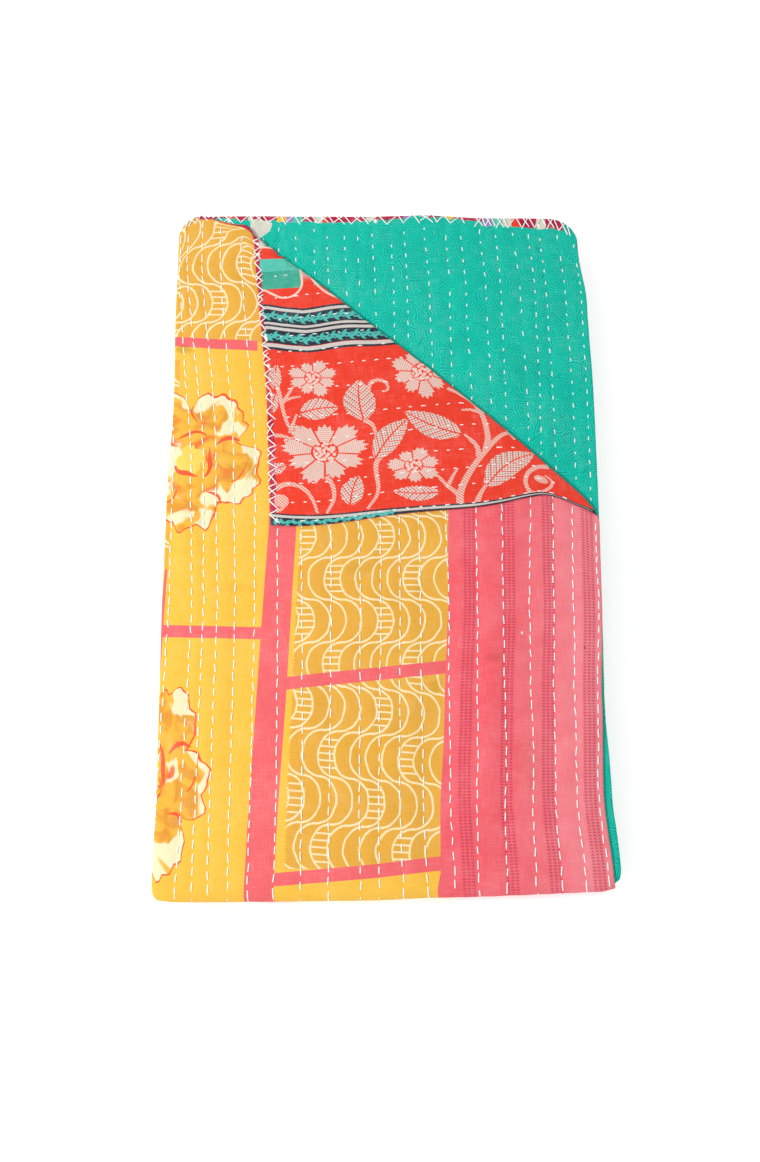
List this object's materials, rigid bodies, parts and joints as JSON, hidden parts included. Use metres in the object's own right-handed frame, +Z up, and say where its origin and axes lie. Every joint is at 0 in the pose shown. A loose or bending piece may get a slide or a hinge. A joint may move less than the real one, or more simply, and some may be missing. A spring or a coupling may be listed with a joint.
{
  "type": "kantha quilt",
  "caption": "Folded kantha quilt: one thin quilted sheet folded across and along into a flat packet, with one corner of the top leaf turned back.",
  "frame": {"origin": "middle of the packet's underside, on the surface it lies on", "axes": "+Z up out of the packet, +Y along its length towards the cross-stitched head ends, +X across it towards the free side edge"},
  "size_m": [0.3538, 0.5636, 0.0339],
  "materials": {
    "patchwork_cotton": "washed printed cotton, matt, quilted with running stitch"
  },
  "bodies": {
    "root": {"quilt": "patchwork_cotton"}
  },
  "joints": []
}
